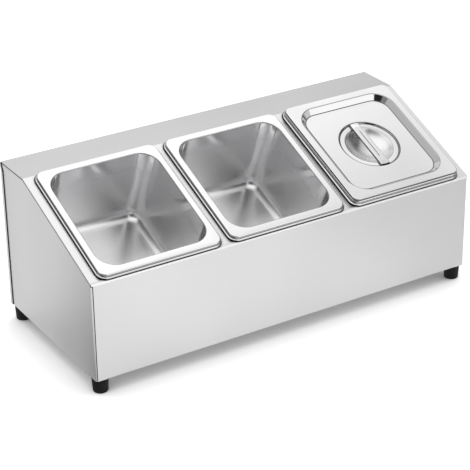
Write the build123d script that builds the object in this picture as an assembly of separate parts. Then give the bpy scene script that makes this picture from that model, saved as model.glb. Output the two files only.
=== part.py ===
from build123d import *
import os
from math import atan2, cos, degrees, radians, sin, sqrt, tan

# Countertop ingredient container: a sloped stainless housing that holds a row of
# lift-out food pans, one of them under a lift-off lid. Millimetres, +Z up, X to the
# right, the user stands on the -Y side. The origin is at the base's centre.

os.makedirs("parts", exist_ok=True)

# Housing, without the feet. Its width and depth follow from the row of pans
front_height = 124.0
deck_rise = 67.0
shelf_depth = 61.0
side_margin = 12.5

# Sheet steel of the housing
sheet = 0.8
bend_radius = 1.5
lap_gap = 0.05
side_flange = 14.0
side_seam = 0.5
front_seam = 0.3
front_reveal = 2.2
front_relief_height = 3.0
hem_height = 12.0
hem_edge_radius = 0.7
rear_drop = 14.0
wrap_flange = 6.0
wrap_seam = 0.2
wrap_mitre_height = 11.0
tray_flange = 11.0
corner_relief_radius = 1.8
notch_length = 6.0
notch_height = 1.2
notch_from_front = 12.5

# Pans, the 1/6 size of the catering standard, 100 mm deep
pan_count = 3
pan_gap = 9.5
pan_width = 162.0
pan_length = 176.0
pan_depth = 100.0
pan_wall = 0.8
pan_draft = 4.0
pan_from_front = 1.5
pan_over_shelf = 0.3
pan_rim_side = 10.0
pan_rim_end = 11.5
pan_opening_corner = 24.0
pan_floor_radius = 13.0
pan_mouth_radius = 1.2
rim_corner = 12.0
rim_height = 6.1
rim_edge_radius = 1.5
rim_draft = 7.0
lip_ledge = 0.9
lip_height = 0.9
lip_edge_radius = 0.4
deck_gap = 0.5
cutout_clearance = 2.0

# Lid
lid_inset_side = 2.0
lid_inset_end = 2.5
lid_corner = 9.0
lid_sheet = 0.8
lid_hem = 2.4
lid_hem_draft = 6.0
lid_edge_radius = 1.0
lid_gap = 0.3
well_clearance = 1.8
well_corner = 27.0
well_depth = 6.5
well_slope = 45.0
well_edge_radius = 0.9
ring_radius = 38.2
ring_step = 1.8
bowl_radius = 29.5
bowl_depth = 13.0
pressing_radius = 1.0

# Bar handle across the bowl
bar_width = 12.0
bar_end_gap = 1.2
bar_sheet = 1.2
bar_side = 3.0
bar_bend = 1.6
bar_groove_length = 45.0
bar_groove_width = 1.4
bar_groove_depth = 0.5

# Rubber feet and what holds them
foot_height = 19.0
foot_top_radius = 10.1
foot_bottom_radius = 9.0
foot_edge_radius = 1.5
foot_inset = 11.2
foot_recess_radius = 5.2
foot_recess_depth = 11.0
screw_radius = 2.0
screw_hole_clearance = 0.25
screw_head_radius = 3.8
screw_head_height = 2.4
screw_head_round = 0.8
screw_socket_radius = 1.3
washer_radius = 4.8
washer_thickness = 0.8
nut_across_flats = 7.0
nut_height = 3.2
screw_tip = 1.5
screw_tip_chamfer = 0.5
fit_gap = 0.05

# What follows from the sizes above
pan_pitch = pan_width + pan_gap
housing_width = pan_count * pan_pitch - pan_gap + 2 * side_margin
deck_length = pan_from_front + pan_length - pan_over_shelf
deck_run = sqrt(deck_length**2 - deck_rise**2)
housing_depth = deck_run + shelf_depth
front_y = -housing_depth / 2
rear_y = housing_depth / 2
side_x = housing_width / 2 - sheet - wrap_seam
front_top_z = foot_height + front_height
top_z = front_top_z + deck_rise
kink_y = rear_y - shelf_depth
slope = atan2(deck_rise, deck_run)
deck = Plane(origin=(0, front_y, front_top_z), x_dir=(1, 0, 0), z_dir=(0, -sin(slope), cos(slope)))
pan_centre = pan_from_front + pan_length / 2
pan_opening_width = pan_width - 2 * pan_rim_side
pan_opening_length = pan_length - 2 * pan_rim_end
lid_width = pan_width - 2 * lid_inset_side
lid_length = pan_length - 2 * lid_inset_end
well_width = pan_opening_width - 2 * well_clearance
well_length = pan_opening_length - 2 * well_clearance
bar_length = 2 * (ring_radius - bar_end_gap)
rim_top = deck_gap + rim_height
lid_top = rim_top + lid_gap + lid_hem
screw_hole_radius = screw_radius + screw_hole_clearance
hem_width = 2 * (side_x - side_flange - lap_gap)
pan_names = ["pan_left", "pan_middle", "pan_right"]
pan_places = {
    name: (index - (pan_count - 1) / 2) * pan_pitch for index, name in enumerate(pan_names)
}
foot_places = {
    f"foot_{end}_{side}": (x_sign * (housing_width / 2 - foot_inset), y_sign * (rear_y - foot_inset))
    for end, y_sign in (("front", -1), ("rear", 1))
    for side, x_sign in (("left", -1), ("right", 1))
}


def on_deck(shape, x):
    """Move a shape drawn about its own centre to its place in the row on the sloped deck."""
    return deck.location * Pos(x, pan_centre, 0) * shape


def block(width, length, radius, low, high, draft=0.0):
    """Upright block with rounded corners from low to high, narrowing upwards by the draft."""
    base = Pos(0, 0, low) * RectangleRounded(width, length, radius)
    return extrude(base, amount=high - low, taper=draft)


def drawn_form(width, length, radius, top, depth, draft, floor_radius):
    """Pressed hollow's form, widest at the top and narrowing downwards, with a round floor edge."""
    mouth = Pos(0, 0, top) * RectangleRounded(width, length, radius)
    form = extrude(mouth, amount=depth, dir=(0, 0, -1), taper=draft)
    return fillet(form.faces().sort_by(Axis.Z)[0].edges(), floor_radius)


def housing_outline(front, top, rear, bottom):
    """Side view of the housing in the YZ plane, drawn in by its own amount on each side."""
    corner_z = front_top_z + front * tan(slope) - top / cos(slope)
    points = [
        (front_y + front, bottom),
        (front_y + front, corner_z),
        (kink_y + top * tan(slope / 2), top_z - top),
        (rear_y - rear, top_z - top),
        (rear_y - rear, bottom),
    ]
    return Plane.YZ * make_face(Polyline(*points, close=True))


def housing_prism(front, top, rear, bottom, half_width, round_radius):
    """Solid of the side view, with its bends rounded."""
    prism = extrude(housing_outline(front, top, rear, bottom), amount=half_width, both=True)
    bends = prism.edges().filter_by(Axis.X).group_by(Axis.Z)[1:]
    return fillet([edge for group in bends for edge in group], round_radius)


def hem(y):
    """Bottom edge of a wall, folded back flat on itself, centred on the given Y."""
    band = Pos(0, y, foot_height + hem_height / 2) * Box(hem_width, 2 * sheet, hem_height)
    return fillet(band.edges().filter_by(Axis.X).group_by(Axis.Z)[0], hem_edge_radius)


def hem_place(y):
    """Room that a hem takes out of the wall's own bottom edge."""
    return Pos(0, y, foot_height) * Box(hem_width, 4 * sheet, 2 * sheet)


def make_top_cover():
    """Front wall, sloped deck and shelf, bent from one sheet, with the pans' cut-outs."""
    rear_inset = sheet + lap_gap
    outer = housing_prism(0, 0, rear_inset, foot_height, side_x, bend_radius)
    inner = housing_prism(
        sheet, sheet, rear_inset + sheet, foot_height - sheet, housing_width, bend_radius - sheet
    )
    cover = outer - inner

    # The rear edge turns down inside the back panel, between the side panels
    rear_zone = Box(housing_width, 4 * bend_radius, 2 * top_z)
    cover -= Pos(0, rear_y, -rear_drop) * rear_zone
    for side in (-1, 1):
        end_x = side * (side_x - sheet - lap_gap + bend_radius)
        end_zone = Box(2 * bend_radius, 4 * bend_radius, 2 * top_z)
        cover -= Pos(end_x, rear_y, -rear_inset) * end_zone

    # The bottom of the front wall is hemmed
    cover = cover - hem_place(front_y) + hem(front_y + sheet)

    # The front wall stops short of the side panels, with a relief at its bend
    wall_top = front_top_z - bend_radius
    for side in (-1, 1):
        strip = Box(2 * front_reveal, 4 * bend_radius, wall_top)
        cover -= Pos(side * side_x, front_y, wall_top / 2) * strip
    for x in pan_places.values():
        cutter = block(
            pan_opening_width + 2 * (pan_wall + cutout_clearance),
            pan_opening_length + 2 * (pan_wall + cutout_clearance),
            pan_opening_corner + pan_wall + cutout_clearance,
            -deck_length / 4,
            rim_height,
        )
        cover -= on_deck(cutter, x)
    return cover


def make_side_panel(side):
    """Side panel with flanges turned in behind the cover and the back panel."""
    front = sheet + front_seam
    top = sheet + side_seam
    rear = sheet + lap_gap
    outer = housing_prism(front, top, rear, foot_height, housing_width, bend_radius)
    band = Box(side_flange, 2 * housing_depth, 2 * top_z)
    outer = outer & Pos(side * (side_x - side_flange / 2), 0, top_z) * band
    face = outer.faces().filter_by(Axis.X).sort_by(Axis.X)[-1 if side > 0 else 0]
    edges = [edge for edge in face.edges() if edge.center().Z > foot_height + sheet]
    outer = fillet(edges, bend_radius)
    inner = housing_prism(
        front + sheet,
        top + sheet,
        rear + sheet,
        foot_height - sheet,
        housing_width,
        bend_radius - sheet,
    )
    hollow = Pos(side * (side_x - sheet - side_flange), 0, top_z) * Box(
        2 * side_flange, 2 * housing_depth, 2 * top_z
    )
    panel = outer - (inner & hollow)

    # The rear flange stops below the cover's turned-down edge
    flange_zone = Box(side_flange, 4 * bend_radius, 2 * (rear_drop + lap_gap))
    panel -= Pos(side * (side_x - sheet - side_flange / 2), rear_y, top_z) * flange_zone

    # The front flange stops short of the slope, with an open relief under the cover's bend
    relief_depth = front + bend_radius
    front_zone = Box(4 * side_flange, 2 * relief_depth, 2 * front_relief_height)
    panel -= Pos(side * side_x, front_y, front_top_z) * front_zone

    # Reliefs where two flanges meet, cut through the flanges only
    relief_x = side * (side_x - bend_radius - side_flange / 2)
    for y, z in ((kink_y, top_z), (rear_y, top_z)):
        relief = Cylinder(corner_relief_radius, side_flange, rotation=(0, 90, 0))
        panel -= Pos(relief_x, y, z) * relief

    # Small notch in the bottom edge, near the front
    notch = Box(4 * sheet, notch_length, 2 * notch_height)
    panel -= Pos(side * side_x, front_y + notch_from_front + notch_length / 2, foot_height) * notch
    return panel


def make_back_panel():
    """Back panel, wrapped round both side panels, with mitred tops and a hemmed bottom."""
    top = top_z - bend_radius
    height = top - foot_height
    plate = Pos(0, rear_y - wrap_flange / 2, foot_height + height / 2) * Box(
        housing_width, wrap_flange, height
    )
    plate = fillet(plate.edges().filter_by(Axis.Z).group_by(Axis.Y)[-1], bend_radius)
    hollow_width = 2 * (side_x + wrap_seam)
    hollow = Pos(0, rear_y - wrap_flange / 2 - sheet, foot_height + height / 2) * Box(
        hollow_width, wrap_flange, 2 * height
    )
    hollow = fillet(hollow.edges().filter_by(Axis.Z).group_by(Axis.Y)[-1], bend_radius - sheet)
    panel = plate - hollow
    mitre = Polyline(
        (rear_y - bend_radius, top),
        (rear_y - wrap_flange, top),
        (rear_y - wrap_flange, top - wrap_mitre_height),
        close=True,
    )
    panel -= extrude(Plane.YZ * make_face(mitre), amount=housing_width, both=True)
    return panel - hem_place(rear_y) + hem(rear_y - sheet)


def make_base_tray():
    """Base plate with its edges turned up against the walls, and the feet's screw holes."""
    width = 2 * (side_x - sheet - lap_gap)
    front = front_y + 2 * sheet + front_seam + lap_gap
    length = rear_y - 2 * sheet - 2 * lap_gap - front
    middle = front + length / 2
    plate = Pos(0, middle, foot_height + tray_flange / 2) * Box(width, length, tray_flange)
    plate = fillet(plate.edges().group_by(Axis.Z)[0], bend_radius)
    hollow = Pos(0, middle, foot_height + sheet + tray_flange / 2) * Box(
        width - 2 * sheet, length - 2 * sheet, tray_flange
    )
    hollow = fillet(hollow.edges().group_by(Axis.Z)[0], bend_radius - sheet)
    tray = plate - hollow
    for sx in (-1, 1):
        for sy in (-1, 1):
            relief = Cylinder(bend_radius + sheet, 4 * tray_flange)
            tray -= Pos(sx * width / 2, middle + sy * length / 2, foot_height) * relief
    for x, y in foot_places.values():
        tray -= Pos(x, y, foot_height) * Cylinder(screw_hole_radius, 4 * sheet)

    # Openings behind the side panels' notches
    notch = Box(4 * bend_radius, notch_length + 2 * sheet, 2 * tray_flange)
    for side in (-1, 1):
        notch_y = front_y + notch_from_front + notch_length / 2
        tray -= Pos(side * width / 2, notch_y, foot_height + tray_flange / 2) * notch
    return tray


def make_foot():
    """Tapered rubber foot, with a recess from below for the screw's head and washer."""
    outline = Polyline(
        (0, 0),
        (foot_bottom_radius, 0),
        (foot_top_radius, foot_height),
        (0, foot_height),
        close=True,
    )
    foot = revolve(Plane.XZ * make_face(outline), Axis.Z)
    foot = fillet(foot.edges().group_by(Axis.Z)[0], foot_edge_radius)
    foot -= Pos(0, 0, foot_recess_depth / 2) * Cylinder(foot_recess_radius, foot_recess_depth)
    return foot - Pos(0, 0, foot_height / 2) * Cylinder(screw_hole_radius, foot_height)


def make_foot_washer():
    """Steel washer that spreads the screw's pull over the rubber."""
    disc = Cylinder(washer_radius, washer_thickness) - Cylinder(screw_hole_radius, washer_thickness)
    return Pos(0, 0, foot_recess_depth - washer_thickness / 2 - fit_gap) * disc


def make_foot_screw():
    """Pan-head socket screw, from the washer up through foot, tray and nut."""
    seat = foot_recess_depth - washer_thickness - 2 * fit_gap
    head = Pos(0, 0, seat - screw_head_height / 2) * Cylinder(screw_head_radius, screw_head_height)
    head = fillet(head.edges().group_by(Axis.Z)[0], screw_head_round)
    top = foot_height + sheet + nut_height + screw_tip
    shank = Pos(0, 0, (seat + top) / 2) * Cylinder(screw_radius, top - seat)
    shank = chamfer(shank.edges().group_by(Axis.Z)[-1], screw_tip_chamfer)
    socket = Pos(0, 0, seat - screw_head_height) * extrude(
        RegularPolygon(screw_socket_radius, 6), amount=screw_head_height / 2
    )
    return head + shank - socket


def make_foot_nut():
    """Hexagon nut on the tray, above the foot."""
    hexagon = RegularPolygon(nut_across_flats / sqrt(3), 6)
    nut = extrude(hexagon, amount=nut_height) - Pos(0, 0, nut_height / 2) * Cylinder(
        screw_radius + fit_gap, nut_height
    )
    return Pos(0, 0, foot_height + sheet + fit_gap) * nut


def make_pan():
    """Deep-drawn pan: tapered body, flat rim, skirt and a small lip that rests on the deck."""
    skirt_width = pan_width - 2 * lip_ledge
    skirt_length = pan_length - 2 * lip_ledge
    skirt_corner = rim_corner - lip_ledge
    lip_top = deck_gap + lip_height
    lip = block(pan_width, pan_length, rim_corner, deck_gap, lip_top)
    lip = fillet(lip.faces().sort_by(Axis.Z)[-1].edges(), lip_edge_radius)
    skirt = block(skirt_width, skirt_length, skirt_corner, lip_top, rim_top, rim_draft)
    skirt = fillet(skirt.faces().sort_by(Axis.Z)[-1].edges(), rim_edge_radius)
    under = block(
        skirt_width - 2 * pan_wall,
        skirt_length - 2 * pan_wall,
        skirt_corner - pan_wall,
        deck_gap,
        rim_top - pan_wall,
        rim_draft,
    )
    body = drawn_form(
        pan_opening_width + 2 * pan_wall,
        pan_opening_length + 2 * pan_wall,
        pan_opening_corner + pan_wall,
        rim_top - pan_wall / 2,
        pan_depth - pan_wall / 2,
        pan_draft,
        pan_floor_radius + pan_wall,
    )
    inside = drawn_form(
        pan_opening_width,
        pan_opening_length,
        pan_opening_corner,
        rim_top,
        pan_depth - pan_wall,
        pan_draft,
        pan_floor_radius,
    )
    pan = (lip + skirt - under) + body - inside
    mouth = [
        edge
        for edge in pan.edges().group_by(Axis.Z)[-1]
        if abs(edge.center().X) <= pan_opening_width / 2 and abs(edge.center().Y) <= pan_opening_length / 2
    ]
    return fillet(mouth, pan_mouth_radius)


def lid_floor():
    """Height of the lid's sunk floor above the deck."""
    return lid_top - well_depth


def make_lid():
    """Pressed lid: hemmed flange, sunk floor with sloping walls, ring ledge and finger bowl."""
    hem_bottom = lid_top - lid_hem
    flange = block(lid_width, lid_length, lid_corner, hem_bottom, lid_top, lid_hem_draft)
    flange = fillet(flange.faces().sort_by(Axis.Z)[-1].edges(), lid_edge_radius)
    flange -= block(
        lid_width - 2 * lid_sheet,
        lid_length - 2 * lid_sheet,
        lid_corner - lid_sheet,
        hem_bottom,
        lid_top - lid_sheet,
        lid_hem_draft,
    )
    spread = lid_sheet * tan(radians(well_slope / 2))
    well_outer = drawn_form(
        well_width + 2 * spread,
        well_length + 2 * spread,
        well_corner + spread,
        lid_top - lid_sheet,
        well_depth,
        well_slope,
        well_edge_radius + lid_sheet,
    )
    well_inner = drawn_form(
        well_width, well_length, well_corner, lid_top, well_depth, well_slope, well_edge_radius
    )
    ledge = lid_floor() - ring_step
    ring_outer = Pos(0, 0, (lid_floor() + ledge) / 2 - lid_sheet) * Cylinder(
        ring_radius + lid_sheet, ring_step
    )
    ring_inner = Pos(0, 0, (lid_floor() + ledge) / 2) * Cylinder(ring_radius, ring_step)
    ball = (bowl_radius**2 + bowl_depth**2) / (2 * bowl_depth)
    ball_centre = ledge - bowl_depth + ball
    below_ledge = Pos(0, 0, ledge - lid_sheet / 2 - ball) * Cylinder(2 * ball, 2 * ball)
    below_surface = Pos(0, 0, ledge - ball) * Cylinder(2 * ball, 2 * ball)
    bowl_outer = (Pos(0, 0, ball_centre) * Sphere(ball + lid_sheet)) & below_ledge
    bowl_inner = (Pos(0, 0, ball_centre) * Sphere(ball)) & below_surface
    lid = flange + well_outer + ring_outer + bowl_outer - well_inner - ring_inner - bowl_inner
    sharp = [
        edge
        for edge in lid.edges().filter_by(GeomType.CIRCLE)
        if abs(edge.radius - ring_radius) < lid_sheet / 4 and edge.center().Z > lid_floor() - lid_sheet / 4
    ]
    sharp += [
        edge
        for edge in lid.edges().filter_by(GeomType.CIRCLE)
        if abs(edge.radius - bowl_radius) < lid_sheet / 4 and abs(edge.center().Z - ledge) < lid_sheet / 4
    ]
    return fillet(sharp, pressing_radius)


def make_lid_handle():
    """Bar handle: a channel strip that spans the bowl, welded down on the ring ledge."""
    seat = lid_floor() - ring_step
    bar = Pos(0, 0, seat + bar_side / 2) * Box(bar_width, bar_length, bar_side)
    long_edges = bar.edges().filter_by(Axis.Y).group_by(Axis.Z)[-1]
    end_edges = bar.edges().filter_by(Axis.X).group_by(Axis.Z)[-1]
    bar = fillet(long_edges + end_edges, bar_bend)
    hollow = Pos(0, 0, seat + (bar_side - bar_sheet) / 2) * Box(
        bar_width - 2 * bar_sheet, bar_length - 2 * bar_sheet, bar_side - bar_sheet
    )
    groove = SlotOverall(bar_groove_length, bar_groove_width, rotation=90)
    groove = Pos(0, 0, seat + bar_side - bar_groove_depth) * extrude(groove, amount=bar_side)
    bar = bar - hollow - groove

    # The ends are rounded to follow the ring
    ring = Pos(0, 0, seat) * Cylinder(ring_radius - pressing_radius, 4 * bar_side)
    return bar & ring


def at_feet(shape):
    """Copies of a shape, one at each foot, kept as separate solids of one node."""
    return Compound(children=[Pos(x, y, 0) * shape for x, y in foot_places.values()])


nodes = {
    "top_cover": make_top_cover(),
    "side_panel_left": make_side_panel(-1),
    "side_panel_right": make_side_panel(1),
    "back_panel": make_back_panel(),
    "base_tray": make_base_tray(),
    "foot_screws": at_feet(make_foot_screw()),
    "foot_washers": at_feet(make_foot_washer()),
    "foot_nuts": at_feet(make_foot_nut()),
    "lid": on_deck(make_lid(), pan_places["pan_right"]),
    "lid_handle": on_deck(make_lid_handle(), pan_places["pan_right"]),
}
pan = make_pan()
for name, x in pan_places.items():
    nodes[name] = on_deck(pan, x)
foot = make_foot()
for name, (x, y) in foot_places.items():
    nodes[name] = Pos(x, y, 0) * foot

for name, shape in nodes.items():
    export_step(shape, f"parts/{name}.step")

print(f"deck slope {degrees(slope):.2f} degrees, length {deck_length:.1f} mm")
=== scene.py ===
import bpy
import bmesh
from math import atan2, copysign, cos, pi, radians, sin, sqrt, tan
from mathutils import Euler, Matrix, Vector


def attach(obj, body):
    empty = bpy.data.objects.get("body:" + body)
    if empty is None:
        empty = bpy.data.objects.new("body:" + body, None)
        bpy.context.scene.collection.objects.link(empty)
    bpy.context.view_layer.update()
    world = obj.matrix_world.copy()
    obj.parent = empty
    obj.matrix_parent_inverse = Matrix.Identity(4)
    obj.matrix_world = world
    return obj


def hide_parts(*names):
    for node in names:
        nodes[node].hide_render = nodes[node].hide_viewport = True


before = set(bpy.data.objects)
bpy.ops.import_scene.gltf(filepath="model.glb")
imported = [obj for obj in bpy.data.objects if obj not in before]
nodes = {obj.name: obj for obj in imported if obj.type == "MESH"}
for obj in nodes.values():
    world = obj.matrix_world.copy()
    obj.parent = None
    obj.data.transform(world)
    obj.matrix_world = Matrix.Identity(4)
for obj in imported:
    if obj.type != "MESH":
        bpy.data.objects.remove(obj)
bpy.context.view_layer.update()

# Camera. It stands in front of the row, to its left and above it, and looks down at it
# through a long lens. Angles are in degrees, places in metres and the lens in millimetres.
camera_place = Vector((-1.0008, -1.6177, 1.0380))
camera_turn = 31.53
camera_tilt = 26.575
camera_roll = -0.771
camera_lens = 131.63
camera_sensor = 36
camera_reach = 50

camera = bpy.data.objects.new("camera", bpy.data.cameras.new("camera"))
camera.data.lens = camera_lens
camera.data.sensor_width = camera_sensor
camera.data.clip_end = camera_reach
heading = Euler((radians(90 - camera_tilt), 0, -radians(camera_turn))).to_matrix()
heading = heading @ Matrix.Rotation(radians(camera_roll), 3, "Z")
camera.matrix_world = Matrix.Translation(camera_place) @ heading.to_4x4()
bpy.context.collection.objects.link(camera)
bpy.context.scene.camera = camera
bpy.context.scene.view_settings.view_transform = "Standard"

# Studio tent. Soft light comes from all sides. The tent's own look shows only in the
# steel: a bright roof, a white front panel, greyer walls, and darker gaps at both ends and
# round the lens. Angles are in degrees, sizes and places in metres.
tent_light = 0.72
tent_wall = 0.80
roof_from = (42, 52)
roof_tone = 1.38
# A panel has a name, its turn from and to, its height from and to, how soft its sides are,
# how soft its top and bottom are, and its tone.
panels = (
    ("right roof", -60, 26, 50, 88, 12, 14, 0.91),
    ("back panel", 55, 105, 32, 70, 5, 5, 1.04),
    ("left wall", 100, 205, 26, 50, 8, 8, 0.60),
    ("dark left", 112, 164, -20, 26, 8, 8, 0.10),
    ("left front wall", 205, 240, -10, 50, 6, 16, 0.26),
    ("lens gap", 234, 271, -12, 44, 4, 20, 0.02),
    ("front panel", 273, 318, -20, 50, 3, 3, 1.30),
    ("right gap", 340, 384, 18, 37, 6, 5, 0.28),
    ("right back wall", 380, 415, -10, 42, 4, 4, 0.66),
    ("low right gap", 340, 404, -15, 6, 5, 5, 0.04),
)
softbox_size = 1.6
softbox_power = 8.0
softbox_place = Vector((0.55, 0.35, 1.75))


def add(tree, kind, **values):
    """Add a node and set its values: plain names are its settings, in_ names its sockets."""
    node = tree.nodes.new(kind)
    for name, value in values.items():
        if name.startswith("in_"):
            socket = node.inputs[int(name[3:])]
            if isinstance(value, bpy.types.NodeSocket):
                tree.links.new(value, socket)
            else:
                socket.default_value = value
        else:
            setattr(node, name, value)
    return node


def sum_of(tree, operation, first, second=0.0, third=0.0):
    """One step of arithmetic on sockets or plain numbers."""
    return add(
        tree, "ShaderNodeMath", operation=operation, in_0=first, in_1=second, in_2=third
    ).outputs[0]


def fade(tree, value, low, high, start=0.0, end=1.0):
    """Map a value from low..high smoothly to start..end."""
    return add(
        tree,
        "ShaderNodeMapRange",
        interpolation_type="SMOOTHSTEP",
        in_0=value,
        in_1=low,
        in_2=high,
        in_3=start,
        in_4=end,
    ).outputs[0]


world = bpy.data.worlds.new("tent")
bpy.context.scene.world = world
world.use_nodes = True
tree = world.node_tree
tree.nodes.clear()
way = add(tree, "ShaderNodeTexCoord").outputs["Generated"]
way = add(tree, "ShaderNodeSeparateXYZ", in_0=way)
to_degrees = 180 / pi
height = sum_of(tree, "MULTIPLY", sum_of(tree, "ARCSINE", way.outputs["Z"]), to_degrees)
turn = sum_of(tree, "ARCTAN2", way.outputs["Y"], way.outputs["X"])
turn = sum_of(tree, "MULTIPLY", turn, to_degrees)
tone = fade(tree, height, *roof_from, tent_wall, roof_tone)
for name, turn_from, turn_to, height_from, height_to, soft, soft_ends, brightness in panels:
    aside = sum_of(tree, "SUBTRACT", turn, (turn_from + turn_to) / 2)
    aside = sum_of(tree, "ABSOLUTE", sum_of(tree, "WRAP", aside, -180.0, 180.0))
    half = (turn_to - turn_from) / 2
    mask = fade(tree, aside, half - soft / 2, half + soft / 2, 1.0, 0.0)
    above = sum_of(tree, "SUBTRACT", height, (height_from + height_to) / 2)
    above = sum_of(tree, "ABSOLUTE", above)
    half = (height_to - height_from) / 2
    upright = fade(tree, above, half - soft_ends / 2, half + soft_ends / 2, 1.0, 0.0)
    mask = sum_of(tree, "MULTIPLY", mask, upright)
    tone = add(tree, "ShaderNodeMix", label=name, in_0=mask, in_2=tone, in_3=brightness)
    tone = tone.outputs[0]
path = add(tree, "ShaderNodeLightPath")
mirrored = add(tree, "ShaderNodeBackground", in_0=(1, 1, 1, 1), in_1=tone)
white = add(tree, "ShaderNodeBackground", in_0=(1, 1, 1, 1), in_1=1.0)
ambient = add(tree, "ShaderNodeBackground", in_0=(1, 1, 1, 1), in_1=tent_light)
glossy = add(
    tree,
    "ShaderNodeMixShader",
    in_0=path.outputs["Is Glossy Ray"],
    in_1=ambient.outputs[0],
    in_2=mirrored.outputs[0],
)
seen = add(
    tree,
    "ShaderNodeMixShader",
    in_0=path.outputs["Is Camera Ray"],
    in_1=glossy.outputs[0],
    in_2=white.outputs[0],
)
add(tree, "ShaderNodeOutputWorld", in_0=seen.outputs[0])

softbox = bpy.data.objects.new("softbox", bpy.data.lights.new("softbox", "AREA"))
softbox.data.size = softbox_size
softbox.data.energy = softbox_power
softbox.location = softbox_place
softbox.rotation_euler = softbox_place.to_track_quat("Z", "Y").to_euler()
softbox.visible_glossy = False
bpy.context.collection.objects.link(softbox)

# Floor. A pale matt sheet that runs into the white tent and keeps the object's real shadow.
# Its glow to the camera fades by occlusion, a painted shadow, darkest where the housing
# stands close over it. For the steel its glow is painted unevenly, as painted reflections of
# shade: greyer to the left and at both ends, with dark strips beside the ends, and dark past its
# edge.
floor_half = 4.0
floor_colour = 0.8
shadow_reach = 0.075
shadow_range = (0.08, 0.95)
shadow_samples = 16
camera_lift = 0.62
mirror_lift = 0.36
# Painted shade in the floor's glow that only the steel sees, as painted reflections.
left_side = (-0.29, -0.26)
left_tone = -0.11
left_far = (0.36, 0.48)
left_line = (-0.854, -0.52, 0.0)
left_dark = (0.20, 0.28, 0.36, 0.46)
left_dark_tone = -0.33
left_edge = (0.255, 0.295)
left_edge_end = (0.32, 0.37)
left_edge_depth = 0.65
right_side = (0.27, 0.30)
right_line = (1.0, 1.0, 0.0)
right_dark = (0.16, 0.21)
right_dark_tone = -0.55
left_end = (-0.20, -0.10)
left_end_tone = -0.07
right_end = (0.14, 0.32)
right_end_tone = -0.20
floor_edge = (0.8, 1.3)
floor_edge_tone = 0.12

mesh = bmesh.new()
bmesh.ops.create_grid(mesh, x_segments=1, y_segments=1, size=floor_half)
floor = bpy.data.objects.new("floor", bpy.data.meshes.new("floor"))
mesh.to_mesh(floor.data)
mesh.free()
bpy.context.collection.objects.link(floor)
material = bpy.data.materials.new("pale_floor")
material.use_nodes = True
tree = material.node_tree
tree.nodes.clear()
place = add(tree, "ShaderNodeTexCoord").outputs["Object"]
x = add(tree, "ShaderNodeSeparateXYZ", in_0=place).outputs["X"]
at_left = fade(tree, x, *left_side, 1.0, 0.0)
out = add(tree, "ShaderNodeVectorMath", operation="DOT_PRODUCT", in_0=place, in_1=left_line)
out = out.outputs["Value"]
near_side = fade(tree, out, *left_far, left_tone, 0.0)
dark_band = fade(tree, out, *left_dark[:2], 0.0, left_dark_tone)
dark_band = sum_of(tree, "MULTIPLY", dark_band, fade(tree, out, *left_dark[2:], 1.0, 0.0))
side = sum_of(tree, "MULTIPLY", at_left, sum_of(tree, "ADD", near_side, dark_band))
edge_shade = fade(tree, out, *left_edge, 0.0, left_edge_depth)
edge_shade = sum_of(tree, "MULTIPLY", edge_shade, fade(tree, out, *left_edge_end, 1.0, 0.0))
edge_shade = sum_of(tree, "MULTIPLY", edge_shade, at_left)
front_left = fade(tree, x, *left_end, left_end_tone, 0.0)
front_right = fade(tree, x, *right_end, 0.0, right_end_tone)
out = add(tree, "ShaderNodeVectorMath", operation="DOT_PRODUCT", in_0=place, in_1=right_line)
at_right = fade(tree, out.outputs["Value"], *right_dark)
at_right = sum_of(tree, "MULTIPLY", fade(tree, x, *right_side), at_right)
at_right = sum_of(tree, "MULTIPLY", at_right, right_dark_tone)
front_right = sum_of(tree, "ADD", front_right, at_right)
ends = sum_of(tree, "ADD", front_left, front_right)
mirrored = sum_of(tree, "ADD", sum_of(tree, "ADD", side, ends), mirror_lift)
mirrored = sum_of(tree, "MAXIMUM", mirrored, 0.0)
path = add(tree, "ShaderNodeLightPath")
mirrored = sum_of(tree, "MULTIPLY", mirrored, path.outputs["Is Glossy Ray"])
open_floor = add(tree, "ShaderNodeAmbientOcclusion", samples=shadow_samples, in_1=shadow_reach)
open_floor = fade(tree, open_floor.outputs["AO"], *shadow_range, 0.0, camera_lift)
seen = sum_of(tree, "MULTIPLY", path.outputs["Is Camera Ray"], open_floor)
lift = sum_of(tree, "ADD", mirrored, seen)
matt = add(tree, "ShaderNodeBsdfDiffuse", in_0=(floor_colour, floor_colour, floor_colour, 1))
glow = add(tree, "ShaderNodeEmission", in_0=(1, 1, 1, 1), in_1=lift)
both = add(tree, "ShaderNodeAddShader", in_0=matt.outputs[0], in_1=glow.outputs[0])
far = add(tree, "ShaderNodeVectorMath", operation="LENGTH", in_0=place)
far = fade(tree, far.outputs["Value"], *floor_edge)
far = sum_of(tree, "MAXIMUM", far, edge_shade)
far = sum_of(tree, "MULTIPLY", far, path.outputs["Is Glossy Ray"])
dark = add(tree, "ShaderNodeEmission", in_0=(1, 1, 1, 1), in_1=floor_edge_tone)
both = add(tree, "ShaderNodeMixShader", in_0=far, in_1=both.outputs[0], in_2=dark.outputs[0])
add(tree, "ShaderNodeOutputMaterial", in_0=both.outputs[0])
floor.data.materials.append(material)
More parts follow.
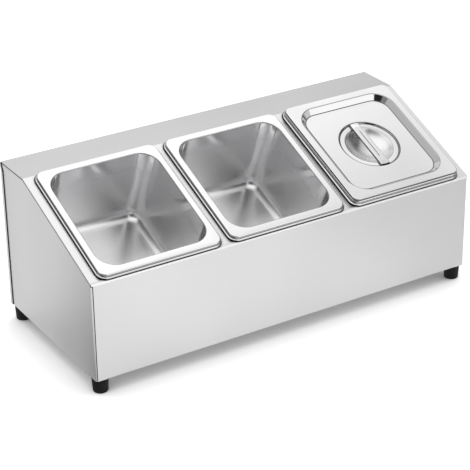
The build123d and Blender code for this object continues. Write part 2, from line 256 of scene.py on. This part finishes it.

# Housing. Satin stainless sheet, 0.8 mm thick, bent and spot welded: one top cover, two
# side panels, a back panel that wraps round them and a base tray. Its finish is a fine
# straight grain with faint wiping marks and a slight wave, and painted shade darkens
# its seams and the deck beside the pans.
millimetre = 0.001
deck_rise, deck_run = 67.0, 164.055
deck_front = Vector((0, -112.53, 143.0)) * millimetre
deck_tilt = atan2(deck_rise, deck_run)
satin_colour = (0.775, 0.775, 0.78)
satin_rough = (0.277, 0.33)
along_x = (18, 1500, 1500)
along_y = (1500, 18, 1500)
grain_detail = 3.0
grain_harshness = 0.6
grain_tones = (0.96, 1.03)
grain_strength = 0.3
grain_in_rough = 0.15
shift_size = 0.2
shift_far = 12.0
scratch_size = 0.35
scratch_range = (0.62, 0.78)
scratch_tone = 0.04
cloud_size = (5.5, 5.5, 2.5)
cloud_range = (0.30, 0.70)
cloud_tone = 0.07
rough_range = (0.4, 0.9)
satin_grain_depth = 0.00001
satin_wave_depth = 0.0004
# Painted shade: its tone, and how far and how closed the occlusion is, in the seams and on the
# deck.
satin_shade = 0.03
shade_samples = 12
seam_reach = 0.0035
seam_closed_open = (0.60, 0.88)
deck_reach = 0.008
deck_closed_open = (0.70, 0.86)


def group_socket(group, name, way, kind="NodeSocketFloat"):
    """Add a named input or output to a node group."""
    return group.interface.new_socket(name=name, in_out=way, socket_type=kind)


def use_group(tree, group, **values):
    """Place a node group and set its named inputs."""
    node = add(tree, "ShaderNodeGroup", node_tree=group)
    for name, value in values.items():
        if isinstance(value, bpy.types.NodeSocket):
            tree.links.new(value, node.inputs[name])
        else:
            node.inputs[name].default_value = value
    return node


sheet_grain = bpy.data.node_groups.new("sheet_grain", "ShaderNodeTree")
group_socket(sheet_grain, "Vector", "INPUT", "NodeSocketVector")
group_socket(sheet_grain, "Stretch", "INPUT", "NodeSocketVector")
group_socket(sheet_grain, "Grain", "OUTPUT")
group_socket(sheet_grain, "Scratches", "OUTPUT")
inside = add(sheet_grain, "NodeGroupInput").outputs
stretched = add(
    sheet_grain, "ShaderNodeVectorMath", operation="MULTIPLY", in_0=inside[0], in_1=inside[1]
).outputs[0]
shift = add(sheet_grain, "ShaderNodeTexNoise", in_0=stretched, in_2=shift_size, in_3=0.0)
shift = sum_of(sheet_grain, "MULTIPLY", shift.outputs[0], shift_far)
broken = add(
    sheet_grain, "ShaderNodeVectorMath", operation="ADD", in_0=stretched, in_1=shift
).outputs[0]
fine = add(
    sheet_grain,
    "ShaderNodeTexNoise",
    in_0=broken,
    in_2=1.0,
    in_3=grain_detail,
    in_4=grain_harshness,
)
wide = add(sheet_grain, "ShaderNodeTexNoise", in_0=broken, in_2=scratch_size, in_3=1.0)
scratch = fade(sheet_grain, wide.outputs[0], *scratch_range)
add(sheet_grain, "NodeGroupOutput", in_0=fine.outputs[0], in_1=scratch)

uneven_sheet = bpy.data.node_groups.new("uneven_sheet", "ShaderNodeTree")
group_socket(uneven_sheet, "Vector", "INPUT", "NodeSocketVector")
group_socket(uneven_sheet, "Stretch", "INPUT", "NodeSocketVector")
group_socket(uneven_sheet, "Cloud", "OUTPUT")
inside = add(uneven_sheet, "NodeGroupInput").outputs
stretched = add(
    uneven_sheet, "ShaderNodeVectorMath", operation="MULTIPLY", in_0=inside[0], in_1=inside[1]
).outputs[0]
cloud = add(uneven_sheet, "ShaderNodeTexNoise", in_0=stretched, in_2=1.0, in_3=1.0)
add(uneven_sheet, "NodeGroupOutput", in_0=cloud.outputs[0])

# Painted shade: a surface darkens where nearby parts occlude it, in seams, creases and beside the
# pans.
seam_shade = bpy.data.node_groups.new("seam_shade", "ShaderNodeTree")
group_socket(seam_shade, "Reach", "INPUT")
group_socket(seam_shade, "Closed", "INPUT")
group_socket(seam_shade, "Open", "INPUT")
group_socket(seam_shade, "Shade", "OUTPUT")
inside = add(seam_shade, "NodeGroupInput").outputs
near = add(seam_shade, "ShaderNodeAmbientOcclusion", samples=shade_samples, in_1=inside[0])
painted_shade = fade(seam_shade, near.outputs["AO"], inside[1], inside[2], 1.0, 0.0)
add(seam_shade, "NodeGroupOutput", in_0=painted_shade)


def mix_colours(tree, mask, first, second):
    """Mix two colours, each a socket or a plain colour, by a mask."""
    node = add(tree, "ShaderNodeMix", data_type="RGBA", in_0=mask)
    for index, colour in ((6, first), (7, second)):
        if isinstance(colour, bpy.types.NodeSocket):
            tree.links.new(colour, node.inputs[index])
        else:
            node.inputs[index].default_value = (*colour, 1)
    return node.outputs[2]


def shade(colour, amount):
    """A colour made lighter or darker."""
    return tuple(min(1.0, value * amount) for value in colour)


def steel(
    name, colour, grain, cloud, rough, reach, closed_open, shade_tone, grain_depth, wave_depth
):
    """Stainless steel with a grain, scratches, a cloudy unevenness and painted shade in its seams
    and bends.
    """
    material = bpy.data.materials.new(name)
    material.use_nodes = True
    tree = material.node_tree
    shader = tree.nodes["Principled BSDF"]
    place = add(tree, "ShaderNodeTexCoord").outputs["Object"]
    texture = use_group(tree, sheet_grain, Vector=place, Stretch=grain).outputs
    uneven = use_group(tree, uneven_sheet, Vector=place, Stretch=cloud).outputs
    closed, opened = closed_open
    painted_shade = use_group(tree, seam_shade, Reach=reach, Closed=closed, Open=opened).outputs
    low, high = (shade(colour, amount) for amount in grain_tones)
    base = mix_colours(tree, texture["Grain"], low, high)
    clouded = fade(tree, uneven["Cloud"], *cloud_range, 0.0, cloud_tone)
    base = mix_colours(tree, clouded, base, (0.0, 0.0, 0.0))
    scratched = sum_of(tree, "MULTIPLY", texture["Scratches"], scratch_tone)
    base = mix_colours(tree, scratched, base, (1.0, 1.0, 1.0))
    # Painted shade: the colour darkens by occlusion and along the painted dark lines of the bends.
    line = add(tree, "ShaderNodeAttribute", attribute_name="dark_line").outputs["Fac"]
    dark = sum_of(tree, "MAXIMUM", painted_shade["Shade"], line)
    base = mix_colours(tree, dark, base, shade(colour, shade_tone))
    tree.links.new(base, shader.inputs["Base Color"])
    swing = sum_of(tree, "MULTIPLY", texture["Grain"], grain_in_rough)
    swing = sum_of(tree, "ADD", uneven["Cloud"], swing)
    tree.links.new(fade(tree, swing, *rough_range, *rough), shader.inputs["Roughness"])
    waves = add(tree, "ShaderNodeBump", in_0=1.0, in_1=wave_depth)
    tree.links.new(uneven["Cloud"], waves.inputs["Height"])
    relief = add(tree, "ShaderNodeBump", in_0=grain_strength, in_1=grain_depth)
    tree.links.new(texture["Grain"], relief.inputs["Height"])
    tree.links.new(waves.outputs[0], relief.inputs["Normal"])
    tree.links.new(relief.outputs[0], shader.inputs["Normal"])
    shader.inputs["Metallic"].default_value = 1.0
    return material


def dress(name, material):
    """Give a CAD node its material."""
    part = nodes[name]
    for slot in part.material_slots:
        slot.material = material


satin_cover = steel(
    "satin_cover", satin_colour, along_x, cloud_size, satin_rough,
    deck_reach, deck_closed_open, satin_shade, satin_grain_depth, satin_wave_depth,
)
satin_side = steel(
    "satin_side", satin_colour, along_y, cloud_size, satin_rough,
    seam_reach, seam_closed_open, satin_shade, satin_grain_depth, satin_wave_depth,
)

# The cover's front bend is drawn over a soft edge: it looks rounder than the sheet's own
# bend, so the light rolls over it from the deck to the front wall.
soft_bend = 6.0
roll_start = (0.20, 0.22)
roll_end_fade = 0.02
roll_depth = (1.4, 1.6)
roll_end = radians(90) - deck_tilt
soft_bend_reach = soft_bend * tan(roll_end / 2)
bend_middle = Vector(
    (0, deck_front.y + soft_bend * millimetre, deck_front.z - soft_bend_reach * millimetre)
)
tree = satin_cover.node_tree
place = add(tree, "ShaderNodeTexCoord").outputs["Object"]
out = add(tree, "ShaderNodeVectorMath", operation="SUBTRACT", in_0=place, in_1=bend_middle)
out = add(tree, "ShaderNodeVectorMath", operation="MULTIPLY", in_0=out.outputs[0], in_1=(0, 1, 1))
rolled = add(tree, "ShaderNodeVectorMath", operation="NORMALIZE", in_0=out.outputs[0])
parts = add(tree, "ShaderNodeSeparateXYZ", in_0=out.outputs[0])
size = add(tree, "ShaderNodeVectorMath", operation="LENGTH", in_0=out.outputs[0])
ahead = sum_of(tree, "MULTIPLY", parts.outputs["Y"], -1.0)
lean = sum_of(tree, "ARCTAN2", parts.outputs["Z"], ahead)
in_bend = fade(tree, lean, *roll_start)
before_end = fade(tree, lean, roll_end - roll_end_fade, roll_end + roll_end_fade, 1.0, 0.0)
in_bend = sum_of(tree, "MULTIPLY", in_bend, before_end)
roll_reach = [soft_bend * millimetre * depth for depth in roll_depth]
near_bend = fade(tree, size.outputs["Value"], *roll_reach, 1.0, 0.0)
in_bend = sum_of(tree, "MULTIPLY", in_bend, near_bend)
plain = add(tree, "ShaderNodeNewGeometry").outputs["Normal"]
rolled = rolled.outputs[0]
rolled = add(tree, "ShaderNodeMix", data_type="VECTOR", in_0=in_bend, in_4=plain, in_5=rolled)
waves = next(node for node in tree.nodes if node.type == "BUMP" and not node.inputs["Normal"].links)
tree.links.new(rolled.outputs[1], waves.inputs["Normal"])
for name in ("top_cover", "back_panel", "base_tray"):
    dress(name, satin_cover)
for name in ("side_panel_left", "side_panel_right"):
    dress(name, satin_side)

# Feet. Tapered black rubber, moulded, with a matt skin. Stainless screws, washers and
# nuts hold them through the base tray.
rubber_dark = (0.005, 0.005, 0.005)
rubber_light = (0.012, 0.012, 0.012)
rubber_rough = (0.5, 0.68)
rubber_gloss = 0.2
patch_size = 120.0
patch_detail = 2.0
patch_range = (0.3, 0.7)
skin_size = 900.0
skin_detail = 3.0
skin_strength = 0.25
skin_depth = 0.0002
fastener_colour = (0.60, 0.60, 0.61)
fastener_grain = (300, 300, 300)
fastener_cloud = (40, 40, 40)
fastener_rough = (0.3, 0.4)
# Painted shade by occlusion where the fasteners meet the tray and feet.
fastener_reach = 0.002
fastener_closed_open = (0.3, 0.7)
fastener_shade = 0.3
fastener_grain_depth = 0.00002
fastener_wave_depth = 0.0

rubber = bpy.data.materials.new("black_rubber")
rubber.use_nodes = True
tree = rubber.node_tree
shader = tree.nodes["Principled BSDF"]
place = add(tree, "ShaderNodeTexCoord").outputs["Object"]
skin = add(tree, "ShaderNodeTexNoise", in_0=place, in_2=skin_size, in_3=skin_detail)
patchy = add(tree, "ShaderNodeTexNoise", in_0=place, in_2=patch_size, in_3=patch_detail)
patchy = patchy.outputs[0]
base = mix_colours(tree, patchy, rubber_dark, rubber_light)
tree.links.new(base, shader.inputs["Base Color"])
tree.links.new(fade(tree, patchy, *patch_range, *rubber_rough), shader.inputs["Roughness"])
relief = add(tree, "ShaderNodeBump", in_0=skin_strength, in_1=skin_depth)
tree.links.new(skin.outputs[0], relief.inputs["Height"])
tree.links.new(relief.outputs[0], shader.inputs["Normal"])
shader.inputs["Specular IOR Level"].default_value = rubber_gloss
fastener_steel = steel(
    "fastener_steel", fastener_colour, fastener_grain, fastener_cloud, fastener_rough,
    fastener_reach, fastener_closed_open, fastener_shade, fastener_grain_depth,
    fastener_wave_depth,
)
for end in ("front", "rear"):
    for side in ("left", "right"):
        dress(f"foot_{end}_{side}", rubber)
for name in ("foot_screws", "foot_washers", "foot_nuts"):
    dress(name, fastener_steel)

# Pans. Deep drawn from 0.8 mm bright stainless sheet: a tapered body with a round floor
# edge, a flat rim, a turned down skirt and a small lip. Each drops into its own cut-out.
pan_middle = 89.5 * millimetre
pan_pitch = 171.5 * millimetre
sheet = 0.8
rim_top = 6.6
rim_outline = (79.4, 86.4, 10.4)
mouth_outline = (71.0, 76.5, 24.0)
lip_top = 1.3
lip_width = 2.0
lip_slope = 22.0
foot_round = 0.5
rim_round = 1.5
mouth_round = 1.2
wall_draft = 4.0
floor_depth = 99.2
floor_round = 13.0
floor_flat = 3.0
skirt_foot = 0.6
corner_steps = 14
floor_steps = 10
edge_steps = 6
foot_steps = 4
flats_weight = 90
# Painted shade lines: how dark the mouth, skirt, foot and lip bends are painted, for the shade and
# dark reflections in them.
mouth_line = 0.4
skirt_line = 0.5
foot_line = 0.4
lip_line = 1.0
bright_colour = (0.79, 0.79, 0.795)
bright_grain = (30, 30, 900)
bright_cloud = (9, 9, 9)
bright_rough = (0.045, 0.08)
# Painted shade by occlusion round the pans' lips and bends.
bright_reach = 0.008
bright_closed_open = (0.15, 0.38)
bright_shade = 0.04
bright_grain_depth = 0.0
bright_wave_depth = 0.0001
drawn_depth = (-0.020, 0.001)
drawn_rough = 0.28


def first_ring(mesh, outline, offset, height):
    """The middle face of a pressed sheet: a rounded rectangle. Sizes in millimetres."""
    half_width, half_length, corner = (value + offset for value in outline)
    corners = bmesh.ops.create_grid(mesh, x_segments=1, y_segments=1, size=1)["verts"]
    bmesh.ops.scale(mesh, vec=Vector((half_width, half_length, 1)) * millimetre, verts=corners)
    bmesh.ops.translate(mesh, vec=(0, 0, height * millimetre), verts=corners)
    bmesh.ops.bevel(
        mesh,
        geom=corners,
        offset=corner * millimetre,
        segments=corner_steps,
        profile=0.5,
        affect="VERTICES",
        material=-1,
    )
    return mesh.edges[:]


def next_ring(mesh, line, edges, old, new):
    """Extrude a ring of edges and spread it from one section of the sheet to the next."""
    made = bmesh.ops.extrude_edge_only(mesh, edges=edges)["geom"]
    verts = {item for item in made if isinstance(item, bmesh.types.BMVert)}
    old_sizes, new_sizes = ([value + point[1] for value in point[0]] for point in (old, new))
    centres = [
        Vector(sizes[:2]) - Vector((sizes[2], sizes[2])) for sizes in (old_sizes, new_sizes)
    ]
    for vert in verts:
        side = Vector((copysign(1, vert.co.x), copysign(1, vert.co.y)))
        way = (vert.co.xy / millimetre - side * centres[0]) / old_sizes[2]
        vert.co.xy = (side * centres[1] + way * new_sizes[2]) * millimetre
        vert.co.z = new[2] * millimetre
        vert[line] = new[3]
    return [edge for edge in mesh.edges if edge.is_boundary and edge.verts[0] in verts]


def arc(middle_offset, middle_height, radius, start, end, steps):
    """Points of a round edge in the sheet's section, as offset and height."""
    points = []
    for step in range(steps + 1):
        angle = radians(start + (end - start) * step / steps)
        points.append((middle_offset + radius * cos(angle), middle_height + radius * sin(angle)))
    return points


def pressed(outline, points, dark=0.0, first=1, last=-1):
    """Section points round one outline, with how dark the painted shade line is there."""
    lined = range(len(points))[first:last]
    return [
        (outline, *point, dark if index in lined else 0.0) for index, point in enumerate(points)
    ]


def deck_place(x):
    """Where a piece lies that is drawn round its own middle, flat, at the deck's height."""
    place = Matrix.Translation(deck_front) @ Matrix.Rotation(deck_tilt, 4, "X")
    return place @ Matrix.Translation((x, pan_middle, 0))


def finished(name, mesh, place, material):
    """Turn a mesh into a piece of the object, with its place in its mesh."""
    bmesh.ops.recalc_face_normals(mesh, faces=mesh.faces[:])
    for face in mesh.faces:
        face.smooth = True
    bmesh.ops.transform(mesh, matrix=place, verts=mesh.verts[:])
    piece = bpy.data.objects.new(name, bpy.data.meshes.new(name))
    mesh.to_mesh(piece.data)
    mesh.free()
    piece.data.materials.append(material)
    bpy.context.collection.objects.link(piece)
    flats_rule = piece.modifiers.new("flat faces rule the shading", "WEIGHTED_NORMAL")
    flats_rule.weight = flats_weight
    return piece


def pressed_sheet(name, upper, under, x, material):
    """Form both faces of a pressed sheet, from its middle to its edge and back, on the deck."""
    mesh = bmesh.new()
    line = mesh.verts.layers.float.new("dark_line")
    sections = upper + under[::-1]
    edges = first_ring(mesh, *sections[0][:3])
    for old, new in zip(sections, sections[1:]):
        edges = next_ring(mesh, line, edges, old, new)
    bmesh.ops.contextual_create(mesh, geom=edges)
    return finished(name, mesh, deck_place(x), material)


def pan_section(inner):
    """Section of the pan's upper face, or of its underside where inner is the sheet."""
    draft = radians(wall_draft)
    floor_middle = -floor_depth * tan(draft) - floor_round * tan((radians(90) - draft) / 2)
    floor = rim_top - floor_depth
    points = pressed(mouth_outline, [(floor_middle - floor_flat, floor - inner)])
    bend = floor_round + inner
    bottom = arc(floor_middle, floor + floor_round, bend, -90, -wall_draft, floor_steps)
    mouth_centre = mouth_round / cos(draft) - mouth_round * tan(draft)
    bend = mouth_round - inner
    mouth = arc(mouth_centre, rim_top - mouth_round, bend, 180 - wall_draft, 90, edge_steps)
    points += pressed(mouth_outline, bottom) + pressed(mouth_outline, mouth, mouth_line)
    edge = arc(-rim_round, rim_top - rim_round, rim_round - inner, 90, 0, edge_steps)
    points += pressed(rim_outline, edge, skirt_line, first=4, last=None)
    slope = radians(lip_slope)
    foot_height = lip_top + (lip_width - foot_round) * tan(slope) + foot_round / cos(slope)
    foot = arc(foot_round, foot_height, foot_round + inner, 180, 270 - lip_slope, foot_steps)
    points += [(rim_outline, -inner, foot_height + skirt_foot, skirt_line)]
    points += pressed(rim_outline, foot, foot_line, first=0, last=2)
    lip_end = (lip_width - inner * sin(slope), lip_top - inner * cos(slope))
    points += [(rim_outline, *lip_end, lip_line)]
    return points


bright_steel = steel(
    "bright_steel", bright_colour, bright_grain, bright_cloud, bright_rough,
    bright_reach, bright_closed_open, bright_shade, bright_grain_depth, bright_wave_depth,
)
tree = bright_steel.node_tree
shader = tree.nodes["Principled BSDF"]
deck_up = deck_place(0).to_3x3() @ Vector((0, 0, 1))
above = add(tree, "ShaderNodeTexCoord").outputs["Object"]
above = add(tree, "ShaderNodeVectorMath", operation="SUBTRACT", in_0=above, in_1=deck_front)
above = above.outputs[0]
above = add(tree, "ShaderNodeVectorMath", operation="DOT_PRODUCT", in_0=above, in_1=deck_up)
drawn = fade(tree, above.outputs["Value"], *drawn_depth, 1.0, 0.0)
plain = shader.inputs["Roughness"].links[0].from_socket
rough = add(tree, "ShaderNodeMix", in_0=drawn, in_2=plain, in_3=drawn_rough).outputs[0]
tree.links.new(rough, shader.inputs["Roughness"])
for index, side in enumerate(("left", "middle", "right")):
    x = (index - 1) * pan_pitch
    pan = pressed_sheet(f"{side}_food_pan", pan_section(0), pan_section(sheet), x, bright_steel)
    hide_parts(f"pan_{side}")
    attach(pan, f"{side}_pan")

# Lid. Pressed from the same sheet: a hemmed flange that lies on the pan's rim, a sunk
# floor with sloping walls, a ring ledge and a round finger bowl. It lifts straight off.
lid_top = 9.3
flange_outline = (79.0, 85.5, 9.0)
flange_draft = 6.0
well_outline = (69.2, 74.7, 27.0)
hem_height = 2.4
flange_round = 1.0
bend_steps = 6
well_depth = 6.5
well_round = 2.0
well_slope = 45.0
well_flat = 6.0
well_steps = 5
ring_outline = (38.6, 38.6, 38.599)
ring_step = 1.8
ring_slope = 60.0
ring_flat = 3.0
bowl_outline = (31.0, 31.0, 30.999)
bowl_depth = 13.0
bowl_steps = 12
bowl_last_gap = 0.5
bowl_edge = (0.25, 0.15)
ledge_start = 0.9
# Painted shade lines: how dark the hem, ring, bowl and well bends are painted, for the shade and
# dark reflections in them.
hem_line = 0.8
ring_line = 0.85
bowl_line = 0.5
well_foot_line = 0.9
well_top_line = 0.55
lid_colour = (0.735, 0.735, 0.74)
lid_grain = (60, 900, 900)
lid_cloud = (9, 9, 9)
lid_rough = (0.06, 0.10)
# Painted shade by occlusion in the lid's creases.
lid_reach = 0.003
lid_closed_open = (0.25, 0.6)
lid_shade = 0.06
lid_grain_depth = 0.0
lid_wave_depth = 0.0001
spun_edge = (0.0300, 0.0320)
spun_rough = 0.28


def lid_section(inner):
    """Section of the lid's upper face, or of its underside where inner is the sheet."""
    floor = lid_top - well_depth
    ledge = floor - ring_step
    radius = bowl_outline[0]
    ball = (radius**2 + bowl_depth**2) / (2 * bowl_depth)
    reach = atan2(radius, ball - bowl_depth)
    centre = ledge - bowl_depth + ball
    points = []
    for step in range(1, bowl_steps + 1):
        angle = reach * step / (bowl_steps + bowl_last_gap)
        across = (ball + inner) * sin(angle) - radius
        points.append((bowl_outline, across, centre - (ball + inner) * cos(angle), 0.0))
    edge_out, edge_down = bowl_edge
    points += [(bowl_outline, edge_out + inner / 2, ledge - edge_down - inner, bowl_line)]
    points += [(bowl_outline, ledge_start + inner / 2, ledge - inner, 0.0)]
    slope = radians(ring_slope)
    bend = ring_step / (2 * (1 - cos(slope)))
    across = bend * sin(slope)
    low = arc(-across, ledge + bend, bend + inner, -90, ring_slope - 90, bend_steps)
    high = arc(across, floor - bend, bend - inner, 90 + ring_slope, 90, bend_steps)
    points += pressed(ring_outline, low, ring_line) + pressed(ring_outline, high, ring_line)
    points += [(ring_outline, across + ring_flat, floor - inner, 0.0)]
    points += [(well_outline, -well_depth - well_flat, floor - inner, 0.0)]
    tangent = well_round * tan(radians(well_slope / 2))
    foot = -well_depth - tangent
    low = arc(foot, floor + well_round, well_round + inner, -90, well_slope - 90, well_steps)
    bend = well_round - inner
    high = arc(tangent, lid_top - well_round, bend, 90 + well_slope, 90, well_steps)
    points += pressed(well_outline, low, well_foot_line)
    points += pressed(well_outline, high, well_top_line)
    draft = radians(flange_draft)
    edge_centre = -(hem_height - flange_round) * tan(draft) - flange_round / cos(draft)
    bend = flange_round - inner
    edge = arc(edge_centre, lid_top - flange_round, bend, 90, flange_draft, bend_steps)
    points += pressed(flange_outline, edge, hem_line, first=3, last=None)
    points += [(flange_outline, -inner * cos(draft), lid_top - hem_height, hem_line)]
    return points


lid_steel = steel(
    "lid_steel", lid_colour, lid_grain, lid_cloud, lid_rough,
    lid_reach, lid_closed_open, lid_shade, lid_grain_depth, lid_wave_depth,
)
tree = lid_steel.node_tree
shader = tree.nodes["Principled BSDF"]
ledge_top = (lid_top - well_depth - ring_step) * millimetre
bowl_middle = deck_place(pan_pitch) @ Vector((0, 0, ledge_top))
away = add(tree, "ShaderNodeTexCoord").outputs["Object"]
away = add(tree, "ShaderNodeVectorMath", operation="DISTANCE", in_0=away, in_1=bowl_middle)
spun = fade(tree, away.outputs["Value"], *spun_edge, 1.0, 0.0)
plain = shader.inputs["Roughness"].links[0].from_socket
rough = add(tree, "ShaderNodeMix", in_0=spun, in_2=plain, in_3=spun_rough).outputs[0]
tree.links.new(rough, shader.inputs["Roughness"])
lid = pressed_sheet("pressed_lid", lid_section(0), lid_section(sheet), pan_pitch, lid_steel)
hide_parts("lid")
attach(lid, "lid_body")

# Bar handle. A channel bent from 1.2 mm strip, with a groove pressed along its middle. It
# lies across the bowl, and its ends, cut round to the ring, are spot welded to the ledge.
bar_width = 13.0
bar_sheet = 1.2
bar_low, bar_high = 1.0, 4.0
bar_bend = 1.6
bar_steps = 6
bar_end_radius = 37.4
groove_length = 45.0
groove_width = 1.5
groove_floor = groove_width / 5
groove_limit = groove_width / 3
groove_depth = 0.7
groove_end = 1.8
groove_lip = 0.6
# Painted shade lines along the bar's sides and in its groove.
side_reach = 0.35
side_line = 0.7
groove_line = 0.9

mesh = bmesh.new()
line = mesh.verts.layers.float.new("dark_line")
half = [(bar_width / 2, bar_low)]
half += arc(bar_width / 2 - bar_bend, bar_high - bar_bend, bar_bend, 0, 90, bar_steps)
half += [(x, bar_high) for x in (groove_width / 2 + groove_lip, groove_width / 2, groove_floor)]
profile = [(-x, z) for x, z in half] + half[::-1]
chain = [mesh.verts.new((x * millimetre, 0, z * millimetre)) for x, z in profile]
edges = [mesh.edges.new(pair) for pair in zip(chain, chain[1:])]
groove_half = groove_length / 2
stations = (-1, -groove_half - groove_end, -groove_half, groove_half, groove_half + groove_end, 1)
for index, station in enumerate(stations):
    if index:
        made = bmesh.ops.extrude_edge_only(mesh, edges=edges)["geom"]
        edges = [item for item in made if isinstance(item, bmesh.types.BMEdge)]
        chain = [item for item in made if isinstance(item, bmesh.types.BMVert)]
    for vert in chain:
        x = vert.co.x / millimetre
        end = sqrt(bar_end_radius**2 - x**2)
        vert.co.y = (station * end if abs(station) == 1 else station) * millimetre
        in_middle = abs(x) < groove_limit
        grooved = in_middle and index in (2, 3)
        if in_middle:
            vert.co.z = (bar_high - (groove_depth if grooved else 0)) * millimetre
        at_side = abs(x) > bar_width / 2 - side_reach
        vert[line] = groove_line if grooved else side_line if at_side else 0.0
bmesh.ops.recalc_face_normals(mesh, faces=mesh.faces[:])
bmesh.ops.solidify(mesh, geom=mesh.faces[:], thickness=bar_sheet * millimetre)
bar = finished("bar_handle", mesh, deck_place(pan_pitch), lid_steel)
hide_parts("lid_handle")
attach(bar, "lid_body")
